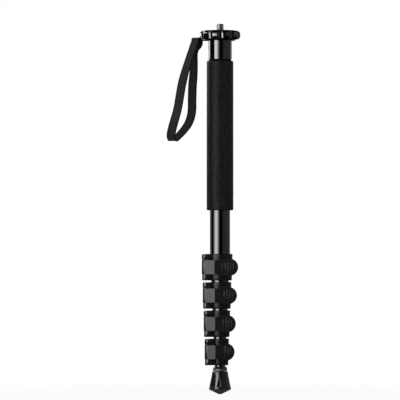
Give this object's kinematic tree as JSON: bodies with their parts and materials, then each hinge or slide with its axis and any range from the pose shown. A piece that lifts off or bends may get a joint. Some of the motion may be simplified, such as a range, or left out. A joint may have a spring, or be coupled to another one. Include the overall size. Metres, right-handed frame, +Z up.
{
  "type": "camera monopod",
  "caption": "Folded camera monopod: telescoping black tubes with cam-lever locks, foam grip, scalloped stud wheel, webbing wrist strap and a rubber foot over a steel spike.",
  "frame": {"origin": "on the leg's axis, in the plane of the camera seat, at the foot of the stud", "axes": "+Z up the stud, away from the ground; -Y to the front, where the lock levers lie; -X to the side of the wrist strap"},
  "size_m": [0.0921, 0.0615, 0.4629],
  "materials": {
    "bright_steel": "bright plated steel",
    "black_gloss": "polished black anodised aluminium",
    "lock_plastic": "satin black glass-filled nylon",
    "inner_plastic": "plain acetal",
    "bright_ring": "turned aluminium",
    "black_rubber": "moulded black rubber",
    "foam": "fine-celled matt foam",
    "webbing": "woven black nylon"
  },
  "bodies": {
    "upper": {"neck_sleeve": "black_gloss", "thrust_washer": "inner_plastic", "trim_ring": "black_rubber", "strap_bar": "black_gloss", "foam_grip": "foam", "tube_1": "black_gloss", "collar_1": "lock_plastic", "liner_1": "inner_plastic", "pin_1": "bright_steel"},
    "wheel": {"camera_stud": "bright_steel", "top_pad": "black_rubber", "mount_wheel": "black_gloss", "stud_nut": "bright_steel"},
    "strap": {"wrist_strap": "webbing"},
    "leg_2": {"tube_2": "black_gloss", "bush_2": "inner_plastic", "collar_2": "lock_plastic", "liner_2": "inner_plastic", "pin_2": "bright_steel"},
    "leg_3": {"tube_3": "black_gloss", "bush_3": "inner_plastic", "collar_3": "lock_plastic", "liner_3": "inner_plastic", "pin_3": "bright_steel"},
    "leg_4": {"tube_4": "black_gloss", "bush_4": "inner_plastic", "collar_4": "lock_plastic", "liner_4": "inner_plastic", "pin_4": "bright_steel"},
    "leg_5": {"tube_5": "black_gloss", "bush_5": "inner_plastic", "foot_ferrule": "black_gloss", "foot_ring": "bright_ring", "spike": "bright_steel"},
    "foot": {"rubber_foot": "black_rubber"},
    "latch_1": {"lever_1": "lock_plastic"},
    "brake_1": {"shoe_1": "inner_plastic"},
    "latch_2": {"lever_2": "lock_plastic"},
    "brake_2": {"shoe_2": "inner_plastic"},
    "latch_3": {"lever_3": "lock_plastic"},
    "brake_3": {"shoe_3": "inner_plastic"},
    "latch_4": {"lever_4": "lock_plastic"},
    "brake_4": {"shoe_4": "inner_plastic"}
  },
  "joints": [
    {"name": "wheel_turn", "type": "hinge", "parent": "upper", "child": "wheel", "pos_m": [0, 0, -0.005], "axis": [0, 0, 1], "continuous": true},
    {"name": "strap_swing", "type": "hinge", "parent": "upper", "child": "strap", "pos_m": [-0.02966, 0.01713, -0.0111], "axis": [0.866, -0.5, 0], "range_deg": [-60, 60]},
    {"name": "slide_2", "type": "slide", "parent": "upper", "child": "leg_2", "axis": [0, 0, -1], "range_m": [0, 0.235]},
    {"name": "slide_3", "type": "slide", "parent": "leg_2", "child": "leg_3", "axis": [0, 0, -1], "range_m": [0, 0.268]},
    {"name": "slide_4", "type": "slide", "parent": "leg_3", "child": "leg_4", "axis": [0, 0, -1], "range_m": [0, 0.3]},
    {"name": "slide_5", "type": "slide", "parent": "leg_4", "child": "leg_5", "axis": [0, 0, -1], "range_m": [0, 0.332]},
    {"name": "flip_1", "type": "hinge", "parent": "upper", "child": "latch_1", "pos_m": [-0.0182, -0.01422, -0.29605], "axis": [0, 0, -1], "range_deg": [0, 120]},
    {"name": "brake_1", "type": "slide", "parent": "upper", "child": "brake_1", "axis": [-0.788, -0.6157, 0], "range_m": [0, 0.0004]},
    {"name": "flip_2", "type": "hinge", "parent": "leg_2", "child": "latch_2", "pos_m": [-0.01702, -0.0133, -0.33135], "axis": [0, 0, -1], "range_deg": [0, 120]},
    {"name": "brake_2", "type": "slide", "parent": "leg_2", "child": "brake_2", "axis": [-0.788, -0.6157, 0], "range_m": [0, 0.0004]},
    {"name": "flip_3", "type": "hinge", "parent": "leg_3", "child": "latch_3", "pos_m": [-0.01584, -0.01238, -0.36665], "axis": [0, 0, -1], "range_deg": [0, 120]},
    {"name": "brake_3", "type": "slide", "parent": "leg_3", "child": "brake_3", "axis": [-0.788, -0.6157, 0], "range_m": [0, 0.0004]},
    {"name": "flip_4", "type": "hinge", "parent": "leg_4", "child": "latch_4", "pos_m": [-0.01466, -0.01145, -0.40195], "axis": [0, 0, -1], "range_deg": [0, 120]},
    {"name": "brake_4", "type": "slide", "parent": "leg_4", "child": "brake_4", "axis": [-0.788, -0.6157, 0], "range_m": [0, 0.0004]},
    {"name": "foot_pull", "type": "slide", "parent": "leg_5", "child": "foot", "axis": [0, 0, -1], "range_m": [0, 0.04]}
  ],
  "couplings": [
    {"joint": "brake_1", "follows": "flip_1", "m_per_rad": 0.00019},
    {"joint": "brake_2", "follows": "flip_2", "m_per_rad": 0.00019},
    {"joint": "brake_3", "follows": "flip_3", "m_per_rad": 0.00019},
    {"joint": "brake_4", "follows": "flip_4", "m_per_rad": 0.00019}
  ]
}
